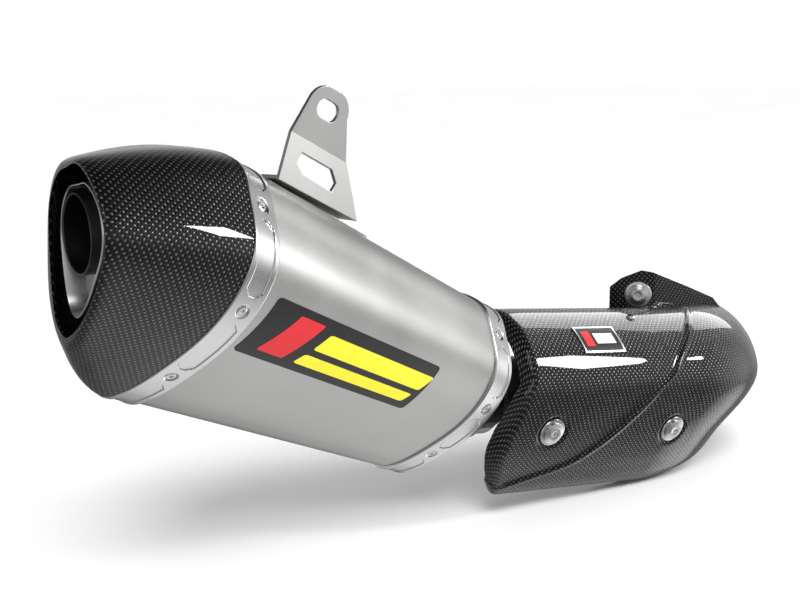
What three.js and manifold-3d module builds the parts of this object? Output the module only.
// Slip-on racing silencer with its link pipe and carbon heat shield.
// Row frame, millimetres: +X forward along the vehicle, +Y inward, +Z up.
// The origin is the middle of the slot in the hanger bracket.
// The silencer case has a frame of its own: X outward, Y up its section, Z rearward along the case.

import * as THREE from 'three';
import { mergeVertices } from 'three/addons/utils/BufferGeometryUtils.js';
import Module from 'manifold-3d';

const wasm = await Module();
wasm.setup();

// ---- driving dimensions ----------------------------------------------------------------------
const GAP = 0.35; // clearance between neighbouring pieces
const SKIN_GAP = 0.3; // clearance under a thin piece laid on a faceted surface
const OUTLINE_POINTS = 40; // points round every section of the case

const SPLAY = THREE.MathUtils.degToRad(16.5); // the case points outward of straight back
const RISE = THREE.MathUtils.degToRad(18); // and climbs to the rear
const CASE_LENGTH = 252; // rear ring to the rear edge of the front band
const FRONT_SCALE_X = 0.839; // width of the front section over the rear one
const FRONT_SCALE_Y = 0.897; // height of the front section over the rear one
const FRONT_SHIFT_X = 7.1;
const FRONT_SHIFT_Y = -30.8;
const BAND_WIDTH = 21;
const BAND_THICKNESS = 1.5;
const SLEEVE_THICKNESS = 1.2;
const SKIRT_THICKNESS = 1.8;
const SKIRT_LENGTH = 18;
const CAP_WALL = 2.4;
const CAP_FULLNESS = 0.42; // how far back the cap keeps most of its section
const CAP_TAPER = 0.2; // how much it has narrowed there

const RIVETS_PER_BAND = 7;
const RIVET_START = 0.1412; // place of the first rivet, as a part of the outline's length
const RIVET_HEAD_RADIUS = 4.7;
const RIVET_HEAD_HEIGHT = 1.3;
const RIVET_SHANK_RADIUS = 1.8;
const RIVET_DEPTH = 6.5;

const OUTLET = new THREE.Vector3(-59.8, -20.5, 30.5); // middle of the outlet, from the rear ring
const OUTLET_RADIUS = 22;
const OUTLET_WALL = 1.2;
const OUTLET_STRAIGHT = 56;
const COLLAR_DEPTH = 24;
const COLLAR_THICKNESS = 1.2; // also that of the plate inside it
const PLATE_RECESS = 12;
const BULKHEAD_HOLE = 27;
const CORE_RADIUS = 24;
const CORE_WALL = 1.2;
const CORE_HOLE_RADIUS = 3;
const CORE_HOLE_ROWS = 3;
const CORE_HOLE_SPACING = 50;
const WOOL_BORE = 26;

const DAMPER_RADIUS = 20.3;
const DAMPER_BORE_RADIUS = 14.5;
const DAMPER_LENGTH = 34;
const DAMPER_RECESS = 20;
const CIRCLIP_WIDTH = 1.6;
const CIRCLIP_THICKNESS = 1.2;
const CIRCLIP_GAP = 0.22; // half the angle of its gap, radians

const PIPE_RADIUS = 25;
const PIPE_WALL = 1.3;
const PIPE_START = new THREE.Vector3(238, 66, -119.5); // rear end of the link pipe, from the rear ring
const PIPE_FALL = THREE.MathUtils.degToRad(6); // the pipe drops this much going forward
const PIPE_STRAIGHT = 214;
const PIPE_BEND_RADIUS = 92;
const PIPE_BEND_ANGLE = THREE.MathUtils.degToRad(78);
const PIPE_TAIL = 26;
const PIPE_SIDES = 24;
const SOCKET_LENGTH = 42;
const SOCKET_WALL = 1.5;
const GASKET_THICKNESS = 2.4;

const BASE_THICKNESS = 1.1; // doubler between the sleeve and the bracket's foot
const BADGE_THICKNESS = 0.5;
const BRACKET_THICKNESS = 2.5;
const SLOT_LENGTH = 18.5;
const SLOT_WIDTH = 11.5;
const SLOT_PLACE = new THREE.Vector3(35.2, 115.8, -61.6); // middle of the slot in the case frame

const SHIELD_THICKNESS = 1.8;
const SHIELD_START = 34; // from the pipe's rear end to the shield's rear edge
// Extra rearward reach of the shield's flank: part of the section and millimetres.
const SHIELD_TAIL = [
  [0, 0], [0.5, 0], [0.6, 8], [0.7, 17], [0.76, 18.5], [0.8, 16.5], [0.86, 10.5], [0.94, 0.5], [1, -8.5],
];
const SHIELD_CURL = 11; // length of the inward curl at the rear edge
const BOLT_HEAD_RADIUS = 8.6;
const BOLT_HEAD_HEIGHT = 2.6;
const WASHER_RADIUS = 11;
const WASHER_THICKNESS = 1.3;
const WASHER_LIFT = 0.5; // the washer bridges the shield's curve
const BUSH_DROP = 1.8; // and the bush sits below its hollow side
const BUSH_HEIGHT = 3;
const BUSH_RADIUS = 6.5;
const NUT_CLEARANCE = 0.8; // a six-sided bore over a round shank
const BOLT_GRIP = 12; // length of thread in a stand-off
const BOSS_RADIUS = 7;

const CLAMP_PLACE = 23; // from the pipe's rear end
const CLAMP_WIDTH = 11;
const CLAMP_THICKNESS = 2;
const CLAMP_LUG = 13;
const CLAMP_SLIT = 4;
const CLAMP_BOLT_RADIUS = 2.9;
const BOLT_SHANK_RADIUS = 2.9;
const BOLT_CLEARANCE = 0.6;

// Outline of the rear section of the case, outward and up.
const REAR_OUTLINE = [
  [0, 75], [26, 72.5], [42, 65.5], [54, 47.5], [64, 27], [65, 14], [58, -6], [42, -28], [15, -51],
  [-17, -71.5], [-36, -77], [-52, -68], [-63, -40], [-66, 0], [-62, 40], [-50, 66], [-30, 74],
];
// Outline of the rear cap's end, outward and up from the middle of the outlet, point for point.
const CAP_END_OUTLINE = [
  [0, 40.5], [20, 41.5], [36, 37], [49, 27], [58, 12], [59, 2], [54, -10], [42, -26], [22, -45],
  [-2, -61], [-16, -64], [-29, -56], [-38, -38], [-35.5, -8], [-28.5, 15], [-20, 30], [-10.5, 37.5],
];
// Edge of the cap's opening.
const CAP_OPENING = [
  [5, 36], [19, 39], [33, 35], [46, 25], [55, 11], [56, 2], [51, -10], [39, -25], [20, -42],
  [0, -54], [-12, -57], [-24, -50], [-28, -34], [-28.5, -8], [-25.5, 12], [-16, 26], [-6, 33],
];
// Egg-shaped collar round the outlet tube.
const COLLAR_OUTLINE = [
  [6, 27.5], [16, 29], [27, 25], [36, 16], [39, 6], [38, -2], [34, -10], [24, -22], [10, -37],
  [-3, -46], [-11, -46], [-18, -40], [-22.5, -28], [-25.2, -12], [-25.4, 0], [-20.5, 14], [-9, 24.5],
];

// Heat shield section: outward and up from the pipe's centre line, upper edge to lower edge.
const SHIELD_SECTION = [
  [-34, 48], [-22, 56], [-4, 61], [14, 60], [32, 52], [47, 37], [56, 19], [58, 8],
  [55, -12], [48, -34], [38, -55], [26, -72], [8, -79],
];

// ---- colours ---------------------------------------------------------------------------------
const finish = (color, roughness, metalness) =>
  new THREE.MeshStandardMaterial({ color, roughness, metalness });
const titanium = finish(0xa3a2a0, 0.45, 1);
const satinBand = finish(0xbab9b7, 0.35, 1);
const carbon = finish(0x15161a, 0.18, 0.1);
const brightSteel = finish(0xc9c9cb, 0.22, 1);
const darkSteel = finish(0x3a3a3d, 0.4, 1);
const steel = finish(0x8e8e91, 0.35, 1);
const graphite = finish(0x2a2a2c, 0.8, 0);
const wool = finish(0xd8cfa8, 0.95, 0);
const rubber = finish(0x1b1b1c, 0.9, 0);
const label = finish(0x1a1a1a, 0.4, 0);

// ---- groups ----------------------------------------------------------------------------------
const outward = new THREE.Vector3(Math.sin(SPLAY), -Math.cos(SPLAY), 0);
const rearward = new THREE.Vector3(
  -Math.cos(SPLAY) * Math.cos(RISE), -Math.sin(SPLAY) * Math.cos(RISE), Math.sin(RISE));
const upward = new THREE.Vector3().crossVectors(rearward, outward);
const caseTurn = new THREE.Matrix4().makeBasis(outward, upward, rearward);

const exhaust = new THREE.Group();
const assembly = new THREE.Group(); // origin at the middle of the rear ring
assembly.position.copy(SLOT_PLACE.clone().applyMatrix4(caseTurn)).negate();
const silencer = new THREE.Group(); // the case frame
silencer.quaternion.setFromRotationMatrix(caseTurn);
assembly.add(silencer);
exhaust.add(assembly);

function addPiece(group, name, geometry, material) {
  const mesh = new THREE.Mesh(geometry, material);
  mesh.name = name;
  group.add(mesh);
  return mesh;
}

// ---- geometry helpers ------------------------------------------------------------------------
const bare = (geometry) => {
  geometry.deleteAttribute('normal');
  geometry.deleteAttribute('uv');
  return mergeVertices(geometry, 1e-4);
};

function faceted(points, triangles) {
  const geometry = new THREE.BufferGeometry();
  const numbers = points.flatMap((p) => [p.x, p.y, p.z]);
  geometry.setAttribute('position', new THREE.Float32BufferAttribute(numbers, 3));
  geometry.setIndex(triangles);
  geometry.computeVertexNormals();
  return geometry;
}

function volume(points, triangles) {
  let sum = 0;
  for (let i = 0; i < triangles.length; i += 3) {
    const [a, b, c] = [0, 1, 2].map((k) => points[triangles[i + k]]);
    sum += a.dot(new THREE.Vector3().crossVectors(b, c));
  }
  return sum / 6;
}

function facingOut(points, triangles) {
  if (volume(points, triangles) > 0) return faceted(points, triangles);
  const flipped = [];
  for (let i = 0; i < triangles.length; i += 3) {
    flipped.push(triangles[i], triangles[i + 2], triangles[i + 1]);
  }
  return faceted(points, flipped);
}

// Skin over closed rings; the last ring joins the first, so the body is a hollow ring or shell.
function shellOfRings(rings) {
  const count = rings[0].length;
  const triangles = [];
  rings.forEach((ring, r) => {
    const next = (r + 1) % rings.length;
    for (let k = 0; k < count; k++) {
      const a = r * count + k;
      const b = r * count + ((k + 1) % count);
      const c = next * count + k;
      const d = next * count + ((k + 1) % count);
      triangles.push(a, b, d, a, d, c);
    }
  });
  return facingOut(rings.flat(), triangles);
}

// A sheet given as rows of points on its two faces, closed all round its edge.
function sheet(outerRows, innerRows) {
  const rows = outerRows.length;
  const columns = outerRows[0].length;
  const offset = rows * columns;
  const at = (face, r, k) => face * offset + r * columns + k;
  const triangles = [];
  const quad = (a, b, c, d) => triangles.push(a, b, c, a, c, d);
  for (let r = 0; r < rows - 1; r++) {
    for (let k = 0; k < columns - 1; k++) {
      quad(at(0, r, k), at(0, r, k + 1), at(0, r + 1, k + 1), at(0, r + 1, k));
      quad(at(1, r, k), at(1, r + 1, k), at(1, r + 1, k + 1), at(1, r, k + 1));
    }
    quad(at(0, r, 0), at(0, r + 1, 0), at(1, r + 1, 0), at(1, r, 0));
    quad(at(0, r + 1, columns - 1), at(0, r, columns - 1), at(1, r, columns - 1), at(1, r + 1, columns - 1));
  }
  for (let k = 0; k < columns - 1; k++) {
    quad(at(0, 0, k + 1), at(0, 0, k), at(1, 0, k), at(1, 0, k + 1));
    quad(at(0, rows - 1, k), at(0, rows - 1, k + 1), at(1, rows - 1, k + 1), at(1, rows - 1, k));
  }
  return facingOut([...outerRows.flat(), ...innerRows.flat()], triangles);
}

function toSolid(geometry) {
  const clean = bare(geometry.clone());
  return new wasm.Manifold(new wasm.Mesh({
    numProp: 3,
    vertProperties: new Float32Array(clean.attributes.position.array),
    triVerts: new Uint32Array(clean.index.array),
  }));
}

function fromSolid(solid) {
  const mesh = solid.getMesh();
  const geometry = new THREE.BufferGeometry();
  geometry.setAttribute('position', new THREE.BufferAttribute(mesh.vertProperties, 3));
  geometry.setIndex(new THREE.BufferAttribute(mesh.triVerts, 1));
  geometry.computeVertexNormals();
  return geometry;
}

const cut = (geometry, ...tools) =>
  fromSolid(tools.reduce((solid, tool) => solid.subtract(toSolid(tool)), toSolid(geometry)));
const join = (geometry, ...others) =>
  fromSolid(others.reduce((solid, other) => solid.add(toSolid(other)), toSolid(geometry)));

// Turns a geometry made along +Z so that it points along a direction from a place.
function along(geometry, place, direction) {
  const aim = direction.clone().normalize();
  const turn = new THREE.Quaternion().setFromUnitVectors(new THREE.Vector3(0, 0, 1), aim);
  return geometry.applyQuaternion(turn).translate(place.x, place.y, place.z);
}

const turned = (profile, segments = 24) => {
  const points = profile.map(([radius, height]) => new THREE.Vector2(radius, height));
  const geometry = bare(new THREE.LatheGeometry([...points, points[0]], segments)).rotateX(Math.PI / 2);
  const list = [];
  const position = geometry.attributes.position;
  for (let i = 0; i < position.count; i++) list.push(new THREE.Vector3().fromBufferAttribute(position, i));
  return facingOut(list, [...geometry.index.array]);
};

const rod = (radius, from, to, segments = 16) =>
  new THREE.CylinderGeometry(radius, radius, to - from, segments).rotateX(Math.PI / 2)
    .translate(0, 0, (from + to) / 2);

function spline(outline, count = OUTLINE_POINTS) {
  const corners = outline.map(([x, y]) => new THREE.Vector3(x, y, 0));
  const curve = new THREE.CatmullRomCurve3(corners, true, 'centripetal');
  return Array.from({ length: count }, (_, k) => curve.getPoint(k / count));
}

// Moves a closed outline inward by a distance.
function inset(ring, distance) {
  return ring.map((point, k) => {
    const before = ring[(k + ring.length - 1) % ring.length];
    const after = ring[(k + 1) % ring.length];
    const run = new THREE.Vector2(after.x - before.x, after.y - before.y).normalize();
    return new THREE.Vector3(point.x + run.y * distance, point.y - run.x * distance, 0);
  });
}

const rearRing = spline(REAR_OUTLINE);

// Section of the case at a distance in front of (minus) or behind the rear ring.
function caseSection(z, depth = 0) {
  const t = -z / CASE_LENGTH;
  return inset(rearRing, depth).map((p) => new THREE.Vector3(
    p.x * (1 + (FRONT_SCALE_X - 1) * t) + FRONT_SHIFT_X * t,
    p.y * (1 + (FRONT_SCALE_Y - 1) * t) + FRONT_SHIFT_Y * t,
    z));
}

const caseMiddle = (z) =>
  new THREE.Vector3((-FRONT_SHIFT_X * z) / CASE_LENGTH, (-FRONT_SHIFT_Y * z) / CASE_LENGTH, z);

// Hoop of the case's section between two stations.
function hoop(from, to, depth, thickness, stations = 2) {
  const places = Array.from({ length: stations }, (_, k) => from + ((to - from) * k) / (stations - 1));
  const outer = places.map((z) => caseSection(z, depth));
  const inner = places.map((z) => caseSection(z, depth + thickness)).reverse();
  return shellOfRings([...outer, ...inner]);
}

// Point and outward direction on the case's surface, at a part of the way round.
function onCase(z, part, depth = 0) {
  const place = part * OUTLINE_POINTS;
  const k = Math.floor(place) % OUTLINE_POINTS;
  const next = (k + 1) % OUTLINE_POINTS;
  const ring = caseSection(z, depth);
  const behind = caseSection(z + 1, depth);
  const point = ring[k].clone().lerp(ring[next], place - Math.floor(place));
  const around = ring[next].clone().sub(ring[k]);
  const normal = around.cross(behind[k].clone().sub(ring[k])).normalize();
  return { point, normal: normal.dot(point.clone().sub(caseMiddle(z))) > 0 ? normal : normal.negate() };
}

// Part of the rear outline at which a share of its length is reached.
const OUTLINE_STEPS = 400;
const finePoints = spline(REAR_OUTLINE, OUTLINE_STEPS);
const fineLengths = [0];
finePoints.forEach((point, k) => {
  fineLengths.push(fineLengths[k] + point.distanceTo(finePoints[(k + 1) % OUTLINE_STEPS]));
});

function partAt(share) {
  const wanted = (share % 1) * fineLengths[OUTLINE_STEPS];
  const above = fineLengths.findIndex((length) => length > wanted);
  const [low, high] = [fineLengths[above - 1], fineLengths[above]];
  return (above - 1 + (wanted - low) / (high - low)) / OUTLINE_STEPS;
}

const toSilencer = (vector) => vector.clone().applyMatrix4(caseTurn.clone().invert());

// ---- rivets ----------------------------------------------------------------------------------
function rivet() {
  return turned([
    [0, RIVET_HEAD_HEIGHT], [RIVET_HEAD_RADIUS, 0.4], [RIVET_HEAD_RADIUS, 0],
    [RIVET_SHANK_RADIUS, 0], [RIVET_SHANK_RADIUS, -RIVET_DEPTH], [0, -RIVET_DEPTH],
  ], 10);
}

function rivetPlaces(z) {
  return Array.from({ length: RIVETS_PER_BAND }, (_, k) =>
    onCase(z, partAt(RIVET_START + k / RIVETS_PER_BAND)));
}

const rivetHoles = (z) => rivetPlaces(z).map(({ point, normal }) =>
  along(rod(RIVET_SHANK_RADIUS + GAP, -10, 10, 8), point, normal));

// ---- the silencer case -----------------------------------------------------------------------
const rearRivetZ = -BAND_WIDTH / 2;
const frontRivetZ = -CASE_LENGTH - BAND_WIDTH / 2;
const sleeveDepth = BAND_THICKNESS + GAP;
const skirtDepth = sleeveDepth + SLEEVE_THICKNESS + GAP;
const bulkheadDepth = skirtDepth + GAP;

function muffler_sleeve() {
  const body = hoop(-0.6, -CASE_LENGTH - BAND_WIDTH + 0.6, sleeveDepth, SLEEVE_THICKNESS);
  return cut(body, ...rivetHoles(rearRivetZ), ...rivetHoles(frontRivetZ));
}

function band(from, rivetZ) {
  return cut(hoop(from, from - BAND_WIDTH, 0, BAND_THICKNESS), ...rivetHoles(rivetZ));
}

// A ring of points on the end plane of the cap, which faces straight back.
function endRing(outline, back = 0, depth = 0) {
  return inset(spline(outline), depth).map((p) =>
    toSilencer(new THREE.Vector3(OUTLET.x - back, OUTLET.y - p.x, OUTLET.z + p.y)));
}

function rear_cap() {
  const start = caseSection(GAP, 0.5);
  const end = endRing(CAP_END_OUTLINE, 4);
  const skin = (t, depth) => {
    const first = depth ? caseSection(GAP, 0.5 + depth) : start;
    const last = depth ? endRing(CAP_END_OUTLINE, 4 - depth, depth) : end;
    return first.map((p, k) => {
      const pull = p.clone().lerp(last[k], CAP_TAPER).setZ(CAP_FULLNESS * last[k].z);
      return p.clone().multiplyScalar((1 - t) ** 2)
        .addScaledVector(pull, 2 * t * (1 - t)).addScaledVector(last[k], t * t);
    });
  };
  const steps = [0, 0.25, 0.5, 0.75, 1];
  const rings = [
    ...steps.map((t) => skin(t, 0)),
    endRing(CAP_OPENING, 5.5),
    endRing(CAP_OPENING, 3.5, -0.6),
    ...steps.slice(0, -1).reverse().map((t) => skin(t, CAP_WALL)),
    caseSection(GAP, skirtDepth + SKIRT_THICKNESS),
    caseSection(-SKIRT_LENGTH, skirtDepth + SKIRT_THICKNESS),
    caseSection(-SKIRT_LENGTH, skirtDepth),
    caseSection(GAP / 2, skirtDepth),
  ];
  return cut(shellOfRings(rings), ...rivetHoles(rearRivetZ));
}

const pipeForward = new THREE.Vector3(Math.cos(PIPE_FALL), 0, -Math.sin(PIPE_FALL));
const pipeOutward = new THREE.Vector3(0, -1, 0);
const pipeUp = new THREE.Vector3(Math.sin(PIPE_FALL), 0, Math.cos(PIPE_FALL));
const gasketInner = PIPE_RADIUS + GAP;
const gasketOuter = gasketInner + GASKET_THICKNESS;
const socketInner = gasketOuter + GAP;
const socketOuter = socketInner + SOCKET_WALL;
const inletHole = socketOuter + 0.9;

// Front cap: a dished titanium end with a hole for the inlet socket.
function front_cap() {
  const front = -CASE_LENGTH - BAND_WIDTH;
  const hub = toSilencer(PIPE_START.clone().addScaledVector(pipeForward, 8));
  const axis = toSilencer(pipeForward);
  const side = new THREE.Vector3().crossVectors(new THREE.Vector3(0, 1, 0), axis).normalize();
  const lift = new THREE.Vector3().crossVectors(axis, side);
  const rim = caseSection(front, sleeveDepth + 0.4);
  const middle = caseMiddle(front);
  const hubRing = (radius, shift) => rim.map((p) => {
    const angle = Math.atan2(p.y - middle.y, p.x - middle.x);
    return hub.clone().addScaledVector(axis, shift)
      .addScaledVector(side, -radius * Math.cos(angle)).addScaledVector(lift, radius * Math.sin(angle));
  });
  const rings = [
    caseSection(front + SKIRT_LENGTH, skirtDepth),
    caseSection(front + GAP, skirtDepth),
    caseSection(front - GAP, skirtDepth - 1.2),
    caseSection(front - 3, skirtDepth + 1.5),
    hubRing(inletHole + 4, 11),
    hubRing(inletHole, 12),
    hubRing(inletHole, 10),
    caseSection(front - 1, skirtDepth + SKIRT_THICKNESS + 2),
    caseSection(front + SKIRT_LENGTH, skirtDepth + SKIRT_THICKNESS),
  ];
  return cut(shellOfRings(rings), ...rivetHoles(frontRivetZ));
}

const outletAxis = new THREE.Vector3(1, 0, 0);
const outletInner = OUTLET.clone().addScaledVector(outletAxis, OUTLET_STRAIGHT);
const coreStart = PIPE_START.clone().addScaledVector(pipeForward, -22);
const coreEnd = outletInner.clone().addScaledVector(outletAxis, 24).add(new THREE.Vector3(0, 4, -9));

// Tube of a wall thickness along a curve, open at both ends.
function tube(curve, radius, wall, steps, sides = 28) {
  const { normals, binormals } = curve.computeFrenetFrames(steps);
  const ring = (k, size) => Array.from({ length: sides }, (_, i) => {
    const angle = (i * Math.PI * 2) / sides;
    return curve.getPointAt(k / steps)
      .addScaledVector(normals[k], size * Math.cos(angle))
      .addScaledVector(binormals[k], size * Math.sin(angle));
  });
  const stations = Array.from({ length: steps + 1 }, (_, k) => k);
  return shellOfRings([
    ...stations.map((k) => ring(k, radius)),
    ...stations.map((k) => ring(k, radius - wall)).reverse(),
  ]);
}

function perforated_core() {
  const run = coreEnd.clone().sub(coreStart);
  const length = run.length() - 14;
  const axis = run.clone().normalize();
  const start = coreStart.clone().addScaledVector(axis, 2);
  const side = new THREE.Vector3().crossVectors(axis, new THREE.Vector3(0, 0, 1)).normalize();
  const lift = new THREE.Vector3().crossVectors(side, axis);
  const holes = [];
  for (let row = 0; row < CORE_HOLE_ROWS; row++) {
    for (let k = 0; k < 3; k++) {
      const angle = ((k + (row % 2) / 2) * Math.PI) / 3;
      const place = start.clone().addScaledVector(axis, (row + 1) * CORE_HOLE_SPACING);
      const direction = side.clone().multiplyScalar(Math.cos(angle)).addScaledVector(lift, Math.sin(angle));
      holes.push(along(rod(CORE_HOLE_RADIUS, -2 * CORE_RADIUS, 2 * CORE_RADIUS, 6), place, direction));
    }
  }
  const bore = CORE_RADIUS - CORE_WALL;
  const profile = [[bore, 0], [CORE_RADIUS, 0], [CORE_RADIUS, length], [bore, length]];
  return cut(along(turned(profile, 18), start, axis), ...holes);
}

// Circle with one point for each point of a ring, at the same bearing from the ring's middle.
function circleFor(ring, middle, centre, radius, z) {
  return ring.map((p) => {
    const angle = Math.atan2(p.y - middle.y, p.x - middle.x);
    return new THREE.Vector3(centre.x + radius * Math.cos(angle), centre.y + radius * Math.sin(angle), z);
  });
}

function bulkhead(z) {
  const hole = (at) => circleFor(caseSection(at), caseMiddle(at), coreAt(at), BULKHEAD_HOLE, at);
  return shellOfRings([
    caseSection(z, bulkheadDepth), caseSection(z + 1.5, bulkheadDepth), hole(z + 1.5), hole(z)]);
}

// Where the straight line of the core crosses a station of the case.
function coreAt(z) {
  const from = toSilencer(coreStart);
  const to = toSilencer(coreEnd);
  return from.clone().lerp(to, (z - from.z) / (to.z - from.z));
}

// Thin plate laid on the sleeve between two stations and two shares of the outline's length.
function casePatch([fromZ, toZ], [fromShare, toShare], thickness, rows, columns) {
  const face = (depth) => Array.from({ length: rows }, (_, r) => Array.from({ length: columns }, (_, k) => {
    const z = fromZ + ((toZ - fromZ) * r) / (rows - 1);
    return onCase(z, partAt(fromShare + ((toShare - fromShare) * k) / (columns - 1)), depth).point;
  }));
  return sheet(face(sleeveDepth - SKIN_GAP - thickness), face(sleeveDepth - SKIN_GAP));
}

const CASE_BADGE = { stations: [-28, -192], shares: [0.244, 0.345] };
const BRACKET_BASE = { stations: [-34, -123], shares: [0.05, 0.09] };

const case_badge = () => casePatch(CASE_BADGE.stations, CASE_BADGE.shares, BADGE_THICKNESS, 2, 14);
const bracket_base = () => casePatch(BRACKET_BASE.stations, BRACKET_BASE.shares, BASE_THICKNESS, 2, 8);

function packing_wool() {
  const front = -CASE_LENGTH + 6;
  const rear = -26;
  const outer = [caseSection(front, bulkheadDepth + 1), caseSection(rear, bulkheadDepth + 1)];
  const bore = (z) => circleFor(caseSection(z), caseMiddle(z), coreAt(z), WOOL_BORE, z);
  return shellOfRings([...outer, bore(rear), bore(front)]);
}

// ---- outlet ----------------------------------------------------------------------------------
function outlet_collar() {
  const outer = [endRing(COLLAR_OUTLINE, 0), endRing(COLLAR_OUTLINE, -COLLAR_DEPTH)];
  const inner = [-COLLAR_DEPTH, 0].map((back) => endRing(COLLAR_OUTLINE, back, COLLAR_THICKNESS));
  return shellOfRings([...outer, ...inner]);
}

// Lays a flat ring (outward, up, back) on the outlet plane of the row.
const onOutlet = (p) => new THREE.Vector3(OUTLET.x - p.z, OUTLET.y - p.x, OUTLET.z + p.y);

function outlet_plate() {
  const ring = inset(spline(COLLAR_OUTLINE), COLLAR_THICKNESS + GAP);
  const middle = new THREE.Vector3(0, 0, 0);
  const edge = (z) => ring.map((p) => onOutlet(p.clone().setZ(z)));
  const hole = (z) => circleFor(ring, middle, middle, OUTLET_RADIUS + GAP, z).map(onOutlet);
  const back = -PLATE_RECESS;
  const front = back - COLLAR_THICKNESS;
  return shellOfRings([edge(back), edge(front), hole(front), hole(back)]);
}

function outlet_tube() {
  const bendEnd = coreEnd.clone().addScaledVector(coreEnd.clone().sub(coreStart).normalize(), -9);
  const curve = new THREE.CurvePath();
  curve.add(new THREE.LineCurve3(OUTLET, outletInner));
  curve.add(new THREE.QuadraticBezierCurve3(
    outletInner, outletInner.clone().addScaledVector(outletAxis, 14), bendEnd));
  return tube(curve, OUTLET_RADIUS, OUTLET_WALL, 6, 24);
}

function noise_damper() {
  const bore = DAMPER_BORE_RADIUS;
  const profile = [
    [bore, 0], [DAMPER_RADIUS, 0], [DAMPER_RADIUS, 3], [bore + 1.6, 5], [bore + 1.2, DAMPER_LENGTH],
    [bore, DAMPER_LENGTH],
  ];
  return along(turned(profile, 28), OUTLET.clone().addScaledVector(outletAxis, DAMPER_RECESS), outletAxis);
}

function damper_circlip() {
  const end = Math.PI * 2 - CIRCLIP_GAP;
  const shape = new THREE.Shape().absarc(0, 0, DAMPER_RADIUS, CIRCLIP_GAP, end);
  shape.absarc(0, 0, DAMPER_RADIUS - CIRCLIP_WIDTH, end, CIRCLIP_GAP, true);
  const options = { depth: CIRCLIP_THICKNESS, bevelEnabled: false, curveSegments: 20 };
  const place = OUTLET.clone().addScaledVector(outletAxis, DAMPER_RECESS - CIRCLIP_THICKNESS - GAP);
  return along(bare(new THREE.ExtrudeGeometry(shape, options)), place, outletAxis);
}

// ---- hanger bracket --------------------------------------------------------------------------
// Side of the bracket in the case frame: along the case (rearward) and up.
const BRACKET_LOWER = [[-36.5, 67.4], [-38.8, 96.7], [-90.4, 90.8], [-110.7, 58.3]];
const BRACKET_PLANE = 32; // outward place of the bracket's lower plate
const BRACKET_LEAN = THREE.MathUtils.degToRad(9); // outward lean of its upper plate
const BRACKET_FOOT_WIDTH = 12.5;

// Flat plate of the bracket's thickness from an outline; holes are paths.
function bracketPlate(shape, holes, matrix) {
  shape.holes.push(...holes);
  const options = { depth: BRACKET_THICKNESS, bevelEnabled: false, curveSegments: 10 };
  return bare(new THREE.ExtrudeGeometry(shape, options)).applyMatrix4(matrix);
}

function hanger_bracket() {
  const across = new THREE.Vector3(0, 0, -1); // forward along the case
  const bendLeft = new THREE.Vector3(BRACKET_PLANE, 96.7, -38.8);
  const bendRight = new THREE.Vector3(BRACKET_PLANE, 90.8, -90.4);
  const crease = bendRight.clone().sub(bendLeft).normalize();
  const place = (origin, lean) => {
    const up = new THREE.Vector3(0, 1, 0).applyAxisAngle(crease, lean);
    const upFlat = up.clone().addScaledVector(crease, -up.dot(crease)).normalize();
    const normal = new THREE.Vector3().crossVectors(crease, upFlat).normalize();
    return { matrix: new THREE.Matrix4().makeBasis(crease, upFlat, normal).setPosition(origin), upFlat };
  };
  const lower = place(bendLeft, 0);
  const inFlat = ({ matrix }, z, up, x = BRACKET_PLANE) =>
    new THREE.Vector3(x, up, z).applyMatrix4(matrix.clone().invert());
  const lowerShape = BRACKET_LOWER
    .map(([z, up]) => inFlat(lower, z, up)).map((p) => new THREE.Vector2(p.x, p.y));
  const window = new THREE.Path([[-51, 87], [-79, 83.5], [-85, 76.5], [-82.5, 70.5], [-55, 74.5], [-48.5, 80]]
    .map(([z, up]) => inFlat(lower, z, up)).map((p) => new THREE.Vector2(p.x, p.y)).reverse());
  const lowerPlate = bracketPlate(new THREE.Shape(lowerShape), [window], lower.matrix);

  const upper = place(bendLeft, BRACKET_LEAN);
  const width = bendRight.distanceTo(bendLeft);
  const slot = SLOT_PLACE.clone().applyMatrix4(upper.matrix.clone().invert());
  const tip = new THREE.Shape();
  tip.moveTo(0, -0.6).lineTo(width, -0.6);
  tip.absarc(slot.x + 4.6, slot.y, 13.4, 0.1, Math.PI / 2, false);
  tip.absarc(slot.x - 3.6, slot.y, 13.2, Math.PI / 2, Math.PI - 0.25, false);
  const half = SLOT_LENGTH / 2 - SLOT_WIDTH / 2;
  const hole = new THREE.Path();
  hole.absarc(slot.x + half, slot.y, SLOT_WIDTH / 2, Math.PI / 2, -Math.PI / 2, true);
  hole.absarc(slot.x - half, slot.y, SLOT_WIDTH / 2, -Math.PI / 2, Math.PI / 2, true);
  const upperPlate = bracketPlate(tip, [hole], upper.matrix);

  // The foot is a strip folded inward from the lower edge.
  const [rearBase, , , frontBase] = BRACKET_LOWER;
  const footRun = new THREE.Vector3(0, frontBase[1] - rearBase[1], frontBase[0] - rearBase[0]);
  const footUp = new THREE.Vector3(1, 0, 0).cross(footRun).normalize();
  if (footUp.y < 0) footUp.negate();
  const footFrame = new THREE.Matrix4().makeBasis(
    new THREE.Vector3(1, 0, 0), footUp, new THREE.Vector3(1, 0, 0).cross(footUp));
  const foot = new THREE.BoxGeometry(BRACKET_FOOT_WIDTH, BRACKET_THICKNESS, footRun.length())
    .translate(-BRACKET_FOOT_WIDTH / 2 + 0.5, BRACKET_THICKNESS / 2, -footRun.length() / 2)
    .applyMatrix4(footFrame.setPosition(BRACKET_PLANE, rearBase[1], rearBase[0]));
  return join(lowerPlate, upperPlate, foot);
}

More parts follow.
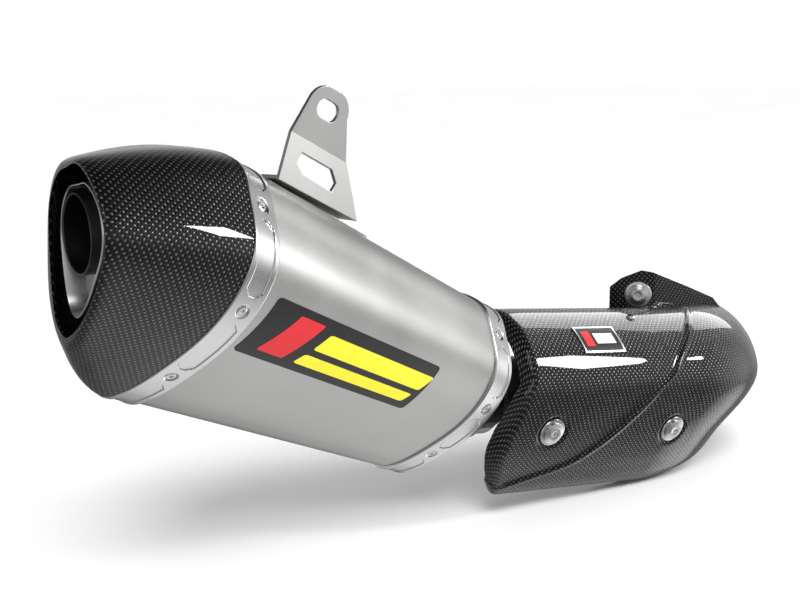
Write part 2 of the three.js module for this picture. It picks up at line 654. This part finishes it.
// ---- link pipe -------------------------------------------------------------------------------
function pipeCurve() {
  const bendStart = PIPE_START.clone().addScaledVector(pipeForward, PIPE_STRAIGHT);
  const centre = bendStart.clone().addScaledVector(pipeOutward, -PIPE_BEND_RADIUS);
  const bendPoint = (angle) => centre.clone()
    .addScaledVector(pipeOutward, PIPE_BEND_RADIUS * Math.cos(angle))
    .addScaledVector(pipeForward, PIPE_BEND_RADIUS * Math.sin(angle));
  return { bendStart, centre, bendPoint };
}

// Frame on the pipe's centre line at a distance from its rear end.
function pipeFrame(distance) {
  const { bendPoint } = pipeCurve();
  const bendLength = PIPE_BEND_RADIUS * PIPE_BEND_ANGLE;
  const over = Math.min(Math.max(distance - PIPE_STRAIGHT, 0), bendLength);
  const angle = over / PIPE_BEND_RADIUS;
  const [cos, sin] = [Math.cos(angle), Math.sin(angle)];
  const forward = pipeForward.clone().multiplyScalar(cos).addScaledVector(pipeOutward, -sin);
  const side = pipeOutward.clone().multiplyScalar(cos).addScaledVector(pipeForward, sin);
  const place = distance <= PIPE_STRAIGHT
    ? PIPE_START.clone().addScaledVector(pipeForward, distance)
    : bendPoint(angle).addScaledVector(forward, Math.max(0, distance - PIPE_STRAIGHT - bendLength));
  return { place, forward, outward: side, up: pipeUp };
}

function link_pipe() {
  const bendLength = PIPE_BEND_RADIUS * PIPE_BEND_ANGLE;
  const stations = [0, PIPE_STRAIGHT];
  for (let k = 1; k <= 7; k++) stations.push(PIPE_STRAIGHT + (bendLength * k) / 7);
  stations.push(PIPE_STRAIGHT + bendLength + PIPE_TAIL);
  const ring = (distance, radius) => {
    const { place, outward: side, up } = pipeFrame(distance);
    return Array.from({ length: PIPE_SIDES }, (_, k) => {
      const angle = (k * Math.PI * 2) / PIPE_SIDES;
      return place.clone()
        .addScaledVector(side, radius * Math.cos(angle)).addScaledVector(up, radius * Math.sin(angle));
    });
  };
  return shellOfRings([
    ...stations.map((d) => ring(d, PIPE_RADIUS)),
    ...stations.map((d) => ring(d, PIPE_RADIUS - PIPE_WALL)).reverse(),
  ]);
}

const onPipeAxis = (geometry, distance) =>
  along(geometry, PIPE_START.clone().addScaledVector(pipeForward, distance), pipeForward);

const inlet_socket = () => onPipeAxis(turned([
  [socketInner, 2], [socketInner, SOCKET_LENGTH - 6], [socketOuter, SOCKET_LENGTH - 6], [socketOuter, 2],
], 24), 0);
const slip_gasket = () => onPipeAxis(turned([
  [gasketInner, 4], [gasketInner, SOCKET_LENGTH - 3], [gasketOuter + 1.4, SOCKET_LENGTH - 3],
  [gasketOuter + 1.4, SOCKET_LENGTH - 5.4], [gasketOuter, SOCKET_LENGTH - 5.4], [gasketOuter, 4],
], 24), 0);

// ---- heat shield -----------------------------------------------------------------------------
const shieldLength = PIPE_STRAIGHT + PIPE_BEND_RADIUS * PIPE_BEND_ANGLE + 6 - SHIELD_START;

const smooth = (value) => THREE.MathUtils.smoothstep(value, 0, 1);

function tailAt(part) {
  const above = Math.max(1, SHIELD_TAIL.findIndex(([place]) => place >= part));
  const [low, high] = [SHIELD_TAIL[above - 1], SHIELD_TAIL[above]];
  return low[1] + ((high[1] - low[1]) * (part - low[0])) / (high[0] - low[0]);
}

// Point of the shield: distance along it, part of the way round its section, and depth below its face.
function shieldPoint(distance, part, depth) {
  const curve = new THREE.CatmullRomCurve3(
    SHIELD_SECTION.map(([w, h]) => new THREE.Vector3(w, h, 0)), false, 'centripetal');
  const point = curve.getPoint(part);
  const tangent = curve.getTangent(part);
  const normal = new THREE.Vector2(tangent.y, -tangent.x).normalize();
  const rear = Math.max(0, 1 - distance / SHIELD_CURL);
  const shrink = 1 - 0.15 * rear * rear;
  const bend = smooth((distance - 150) / 120);
  const low = point.y < 8 ? smooth((8 - point.y) / 60) : 0;
  const tail = tailAt(part) * Math.max(0, 1 - distance / 60);
  const reach = 1 - 0.25 * bend * low;
  const { place, outward: side, up } = pipeFrame(SHIELD_START + distance - tail);
  return place.clone()
    .addScaledVector(side, point.x * shrink * (1 - 0.3 * bend * low) + 3 * bend + normal.x * depth)
    .addScaledVector(up, point.y * shrink * reach + 2 * bend * (1 - low) + normal.y * depth);
}

const SHIELD_STATIONS = [0, 4, 11, 40, 90, 150, 190, 220, 250, 280, shieldLength];
const SHIELD_COLUMNS = 20;

// Bolts through the shield: place along the shield and part of the section.
const SHIELD_BOLTS = [
  { name: 'rear', distance: 38, part: 0.702 },
  { name: 'front', distance: 157, part: 0.722 },
];

function shieldNormal(distance, part) {
  const here = shieldPoint(distance, part, 0);
  const alongRun = shieldPoint(distance + 1, part, 0).sub(here);
  const aroundRun = shieldPoint(distance, part + 0.01, 0).sub(here);
  const normal = new THREE.Vector3().crossVectors(aroundRun, alongRun).normalize();
  const { place } = pipeFrame(SHIELD_START + distance);
  return normal.dot(here.clone().sub(place)) > 0 ? normal : normal.negate();
}

// Upper ear of the shield: a plate that faces back and outward, then turns forward along the bend.
const EAR_PLAN = [[432, 99.5], [438.5, 93.2], [450.5, 82.4], [457.6, 75.5], [497, 76], [530, 77], [539, 76]];
const EAR_TOP = [-66, -58.5, -51.6, -53, -68.3, -81.7, -91.5];
const EAR_BOTTOM = [-92, -91, -89, -88, -97, -104, -108];
const EAR_CORNER = 3; // the ear turns forward at this point of its plan
const EAR_BOLT = new THREE.Vector3(449, 84, -71.5);
const EAR_STUD = { distance: 127, part: 0.283 }; // place on the shield, at the ear's foot
const STUD_RADIUS = 3.6;
const STUD_HEIGHT = 3;

function shieldEar(thickness) {
  const points = EAR_PLAN.map(([x, y]) => new THREE.Vector2(x, y));
  const normals = points.map((_, k) => {
    const before = points[Math.max(0, k - 1)];
    const after = points[Math.min(points.length - 1, k + 1)];
    const run = after.clone().sub(before).normalize();
    return new THREE.Vector2(-run.y, run.x);
  });
  const row = (heights, shift) => points.map((p, k) =>
    new THREE.Vector3(p.x + normals[k].x * shift, p.y + normals[k].y * shift, heights[k]));
  const rows = (shift) => [row(EAR_BOTTOM, shift), row(EAR_TOP, shift)];
  return sheet(rows(0), rows(thickness));
}

const [earRear, earTurn] = [EAR_PLAN[0], EAR_PLAN[EAR_CORNER]];
const earFacing = new THREE.Vector3(earTurn[1] - earRear[1], earRear[0] - earTurn[0], 0).normalize();

// Plate with a printed mark, laid on the shield's outer face.
const SHIELD_BADGE = { from: 58, to: 100, parts: [0.333, 0.422] };

function shield_badge() {
  const { from, to, parts } = SHIELD_BADGE;
  const face = (depth) => Array.from({ length: 5 }, (_, r) => Array.from({ length: 5 }, (_, k) =>
    shieldPoint(from + ((to - from) * r) / 4, parts[0] + ((parts[1] - parts[0]) * k) / 4, depth)));
  return sheet(face(-SKIN_GAP - BADGE_THICKNESS), face(-SKIN_GAP));
}

// Domed stud on the shield at the foot of the ear.
function ear_stud() {
  const dome = turned([
    [0, STUD_HEIGHT], [STUD_RADIUS * 0.6, STUD_HEIGHT * 0.8], [STUD_RADIUS, STUD_HEIGHT * 0.2],
    [STUD_RADIUS, 0], [0, 0],
  ], 16);
  const normal = shieldNormal(EAR_STUD.distance, EAR_STUD.part);
  const place = shieldPoint(EAR_STUD.distance, EAR_STUD.part, 0).addScaledVector(normal, SKIN_GAP);
  return along(dome, place, normal);
}

function heat_shield() {
  const rows = (depth) => SHIELD_STATIONS.map((distance) =>
    Array.from({ length: SHIELD_COLUMNS }, (_, k) => shieldPoint(distance, k / (SHIELD_COLUMNS - 1), depth)));
  const shell = sheet(rows(0), rows(SHIELD_THICKNESS));
  const body = join(shell, shieldEar(SHIELD_THICKNESS));
  const holes = boltSeats().map(({ point, normal }) =>
    along(rod(BOLT_SHANK_RADIUS + BOLT_CLEARANCE, -12, 12, 12), point, normal));
  return cut(body, ...holes);
}

// Where each shield bolt sits: a point on the shield's face and the direction its head points.
function boltSeats() {
  const seats = SHIELD_BOLTS.map(({ name, distance, part }) =>
    ({ name, point: shieldPoint(distance, part, 0), normal: shieldNormal(distance, part) }));
  return [...seats, { name: 'ear', point: EAR_BOLT, normal: earFacing }];
}

// Pan-headed bolt; its shank runs down from the underside of its head.
function shieldBolt(length) {
  return turned([
    [0, BOLT_HEAD_HEIGHT], [BOLT_HEAD_RADIUS * 0.8, BOLT_HEAD_HEIGHT],
    [BOLT_HEAD_RADIUS, BOLT_HEAD_HEIGHT * 0.45], [BOLT_HEAD_RADIUS, 0],
    [BOLT_SHANK_RADIUS, 0], [BOLT_SHANK_RADIUS, -length], [0, -length],
  ], 20);
}

const ringOf = (inner, outer, from, to, sides = 20) =>
  turned([[inner, from], [outer, from], [outer, to], [inner, to]], sides);

// Stand-off welded to the link pipe under a shield bolt, shaped to the pipe.
function pipeBoss({ point, normal }) {
  const top = -(SHIELD_THICKNESS + BUSH_DROP + BUSH_HEIGHT + GAP);
  const reach = point.clone().sub(PIPE_START);
  const across = normal.clone().addScaledVector(pipeForward, -normal.dot(pipeForward));
  const toAxis = reach.addScaledVector(pipeForward, -reach.dot(pipeForward)).dot(across) / across.lengthSq();
  const post = along(rod(BOSS_RADIUS, -toAxis, top), point, normal);
  const pipe = onPipeAxis(rod(PIPE_RADIUS + GAP, -20, PIPE_STRAIGHT, 60), 0);
  const thread = along(rod(BOLT_SHANK_RADIUS + GAP, top - BOLT_GRIP, 1, 12), point, normal);
  return cut(post, pipe, thread);
}

// Band clamp on the inlet socket, with two lugs drawn together by a bolt on the inner side.
function clampBand() {
  const inner = socketOuter + GAP;
  const outer = inner + CLAMP_THICKNESS;
  const hoopRing = turned([[inner, 0], [outer, 0], [outer, CLAMP_WIDTH], [inner, CLAMP_WIDTH]], 32);
  const lug = (side) => new THREE.BoxGeometry(CLAMP_THICKNESS, CLAMP_LUG, CLAMP_WIDTH)
    .translate(side * (CLAMP_SLIT + CLAMP_THICKNESS) / 2, outer - 1 + CLAMP_LUG / 2, CLAMP_WIDTH / 2);
  const slit = new THREE.BoxGeometry(CLAMP_SLIT, 12, 40).translate(0, outer, 0);
  const hole = rod(CLAMP_BOLT_RADIUS + GAP, -20, 20, 12).rotateY(Math.PI / 2)
    .translate(0, clampBoltHeight, CLAMP_WIDTH / 2);
  return cut(join(hoopRing, lug(-1), lug(1)), slit, hole);
}

const clampBoltHeight = socketOuter + GAP + CLAMP_THICKNESS + CLAMP_LUG / 2;

function clampBolt() {
  const profile = [
    [0, 4.5], [5, 4.5], [5, 0], [CLAMP_BOLT_RADIUS, 0], [CLAMP_BOLT_RADIUS, -18], [0, -18]];
  return turned(profile, 12).rotateY(Math.PI / 2)
    .translate(CLAMP_SLIT / 2 + CLAMP_THICKNESS + GAP, clampBoltHeight, CLAMP_WIDTH / 2);
}

function clampNut() {
  return ringOf(CLAMP_BOLT_RADIUS + NUT_CLEARANCE, 5.8, 0, 5, 6).rotateY(-Math.PI / 2)
    .translate(-CLAMP_SLIT / 2 - CLAMP_THICKNESS - GAP, clampBoltHeight, CLAMP_WIDTH / 2);
}

// Stands a clamp piece on the pipe's line, its lugs pointing inward.
function onClamp(geometry) {
  const across = pipeOutward.clone().negate();
  const turn = new THREE.Matrix4().makeBasis(pipeUp.clone().negate(), across, pipeForward);
  const place = PIPE_START.clone().addScaledVector(pipeForward, CLAMP_PLACE);
  return geometry.applyMatrix4(turn.setPosition(place));
}

// ---- assembly --------------------------------------------------------------------------------
addPiece(silencer, 'muffler_sleeve', muffler_sleeve(), titanium);
addPiece(silencer, 'rear_band', band(0, rearRivetZ), satinBand);
addPiece(silencer, 'front_band', band(-CASE_LENGTH, frontRivetZ), satinBand);
addPiece(silencer, 'rear_cap', rear_cap(), carbon);
addPiece(silencer, 'front_cap', front_cap(), titanium);
addPiece(silencer, 'rear_bulkhead', bulkhead(-24), steel);
addPiece(silencer, 'front_bulkhead', bulkhead(-CASE_LENGTH + 2), steel);
addPiece(silencer, 'packing_wool', packing_wool(), wool);
addPiece(silencer, 'outlet_collar', outlet_collar(), brightSteel);
addPiece(silencer, 'hanger_bracket', hanger_bracket(), titanium);
addPiece(silencer, 'bracket_base', bracket_base(), titanium);
addPiece(silencer, 'case_badge', case_badge(), label);
for (const [end, z] of [['rear', rearRivetZ], ['front', frontRivetZ]]) {
  rivetPlaces(z).forEach(({ point, normal }, k) => {
    const head = along(rivet(), point.clone().addScaledVector(normal, GAP), normal);
    addPiece(silencer, `${end}_rivet_${k + 1}`, head, brightSteel);
  });
}

addPiece(assembly, 'outlet_plate', outlet_plate(), brightSteel);
addPiece(assembly, 'outlet_tube', outlet_tube(), darkSteel);
addPiece(assembly, 'noise_damper', noise_damper(), darkSteel);
addPiece(assembly, 'damper_circlip', damper_circlip(), steel);
addPiece(assembly, 'perforated_core', perforated_core(), steel);
addPiece(assembly, 'inlet_socket', inlet_socket(), titanium);
addPiece(assembly, 'slip_gasket', slip_gasket(), graphite);
addPiece(assembly, 'link_pipe', link_pipe(), titanium);
addPiece(assembly, 'clamp_band', onClamp(clampBand()), steel);
addPiece(assembly, 'clamp_bolt', onClamp(clampBolt()), brightSteel);
addPiece(assembly, 'clamp_nut', onClamp(clampNut()), brightSteel);
addPiece(assembly, 'heat_shield', heat_shield(), carbon);
addPiece(assembly, 'shield_badge', shield_badge(), label);
addPiece(assembly, 'ear_stud', ear_stud(), brightSteel);
for (const seat of boltSeats()) {
  const { name, point, normal } = seat;
  const place = (geometry, lift) => along(geometry, point.clone().addScaledVector(normal, lift), normal);
  const washer = ringOf(BOLT_SHANK_RADIUS + GAP, WASHER_RADIUS, 0, WASHER_THICKNESS);
  const bush = ringOf(BOLT_SHANK_RADIUS + GAP, BUSH_RADIUS, 0, BUSH_HEIGHT, 14);
  const bushTop = -SHIELD_THICKNESS - BUSH_DROP;
  addPiece(assembly, `washer_${name}`, place(washer, WASHER_LIFT), brightSteel);
  addPiece(assembly, `shield_bolt_${name}`,
    place(shieldBolt(BOLT_GRIP + 6), WASHER_LIFT + WASHER_THICKNESS + GAP), brightSteel);
  addPiece(assembly, `shield_bush_${name}`, place(bush, bushTop - BUSH_HEIGHT), rubber);
  if (name === 'ear') {
    const nut = ringOf(BOLT_SHANK_RADIUS + NUT_CLEARANCE, 6, -5, 0, 6);
    addPiece(assembly, 'ear_nut', place(nut, bushTop - BUSH_HEIGHT - GAP), steel);
  } else {
    addPiece(assembly, `pipe_boss_${name}`, pipeBoss(seat), titanium);
  }
}

export default exhaust;
